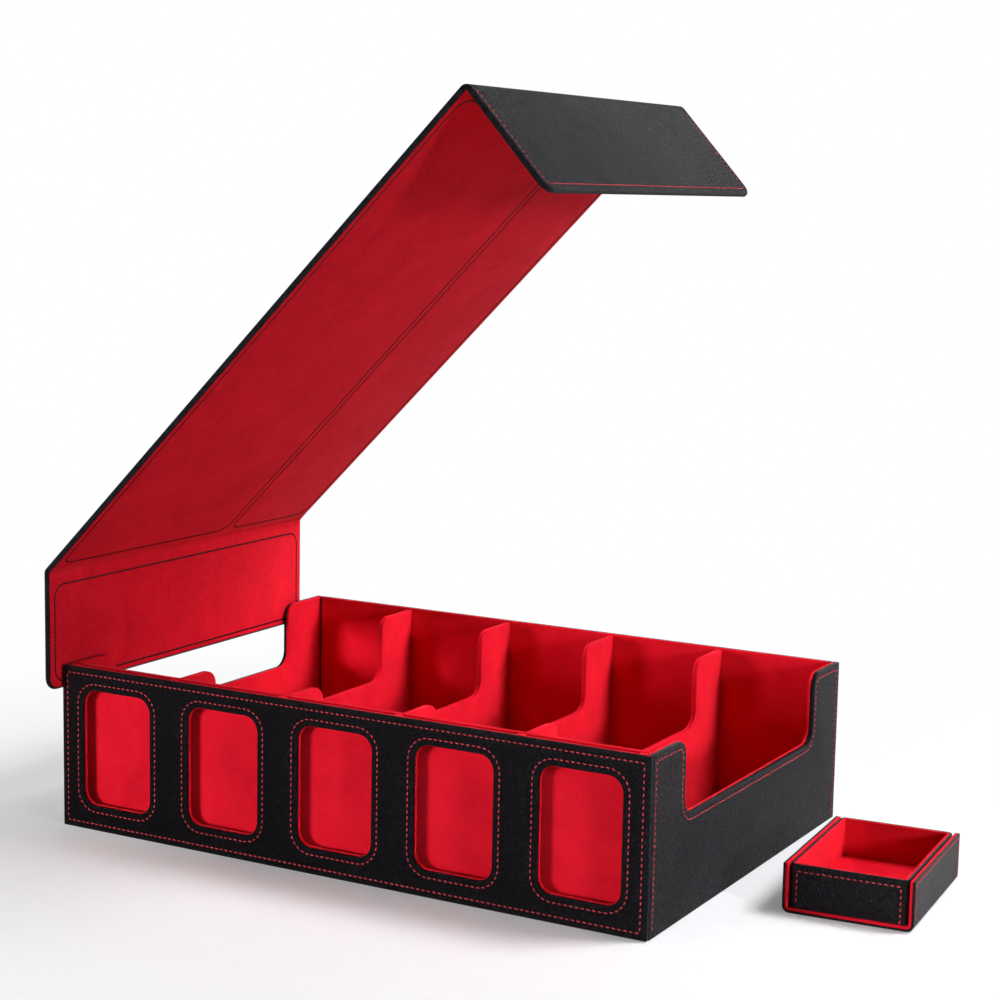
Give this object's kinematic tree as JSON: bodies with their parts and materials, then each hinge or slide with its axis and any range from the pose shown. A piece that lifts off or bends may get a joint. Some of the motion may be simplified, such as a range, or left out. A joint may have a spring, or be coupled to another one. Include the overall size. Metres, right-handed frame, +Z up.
{
  "type": "card deck box",
  "caption": "Leather-covered card storage box with display windows, divided rows, a folding magnetic cover and a small tray in its own sleeve.",
  "frame": {"origin": "centre of the box's underside, on the surface that the box stands on", "axes": "+Z up, +X along the rows' order from the cover's fixed flap to the small tray, -Y is the front with the windows"},
  "size_m": [0.5137, 0.2872, 0.4443],
  "materials": {
    "black_leather": "fine pebbled artificial leather, semi-matt",
    "red_lining": "brushed microfibre with a soft nap",
    "greyboard": "raw greyboard",
    "red_thread": "twisted polyester thread",
    "black_thread": "twisted polyester thread",
    "magnet_plate": "nickel-plated magnet"
  },
  "bodies": {
    "box": {"base_board": "greyboard", "base_skin": "black_leather", "floor_lining": "red_lining", "front_skin": "black_leather", "front_board": "greyboard", "front_lining": "red_lining", "front_stitching": "red_thread", "pocket_spacers": "red_lining", "pocket_wall_board": "greyboard", "pocket_wall_lining": "red_lining", "left_wall_skin": "black_leather", "left_wall_board": "greyboard", "left_wall_lining": "red_lining", "left_wall_stitching": "red_thread", "left_wall_magnets": "magnet_plate", "right_wall_skin": "black_leather", "right_wall_board": "greyboard", "right_wall_lining": "red_lining", "right_wall_stitching": "red_thread", "right_wall_magnets": "magnet_plate", "back_wall_skin": "black_leather", "back_wall_board": "greyboard", "back_wall_lining": "red_lining", "back_wall_stitching": "red_thread", "divider_1": "red_lining", "divider_2": "red_lining", "divider_3": "red_lining", "divider_4": "red_lining", "divider_boards": "greyboard"},
    "left_flap": {"left_flap_skin": "black_leather", "left_flap_board": "greyboard", "left_flap_lining": "red_lining", "left_flap_skin_stitching": "red_thread", "left_flap_lining_stitching": "black_thread", "left_flap_magnets": "magnet_plate"},
    "top": {"left_crease": "black_leather", "top_skin": "black_leather", "top_board": "greyboard", "top_lining": "red_lining", "top_skin_stitching": "red_thread", "top_lining_stitching": "black_thread", "right_crease": "black_leather"},
    "right_flap": {"right_flap_skin": "black_leather", "right_flap_board": "greyboard", "right_flap_lining": "red_lining", "right_flap_skin_stitching": "red_thread", "right_flap_lining_stitching": "black_thread", "right_flap_magnets": "magnet_plate"},
    "sleeve": {"sleeve_skin": "black_leather", "sleeve_board": "greyboard", "sleeve_lining": "red_lining", "sleeve_stitching": "red_thread"},
    "tray": {"tray_skin": "black_leather", "tray_board": "greyboard", "tray_lining": "red_lining", "tray_stitching": "red_thread"}
  },
  "joints": [
    {"name": "cover_lift", "type": "slide", "parent": "box", "child": "left_flap", "axis": [0, -0.2765, 0.961], "range_m": [-0.05786, 0.03]},
    {"name": "cover_fold", "type": "hinge", "parent": "left_flap", "child": "top", "pos_m": [-0.1996, -0.016, 0.158], "axis": [0, -1, 0], "range_deg": [-45, 65]},
    {"name": "flap_fold", "type": "hinge", "parent": "top", "child": "right_flap", "pos_m": [0.08508, -0.016, 0.44268], "axis": [0, -1, 0], "range_deg": [0, 92.8]},
    {"name": "sleeve_slide", "type": "slide", "parent": "box", "child": "sleeve", "axis": [1, 0, 0], "range_m": [0, 0.06]},
    {"name": "tray_lift", "type": "slide", "parent": "sleeve", "child": "tray", "axis": [0, 0, 1], "range_m": [0, 0.05]}
  ]
}
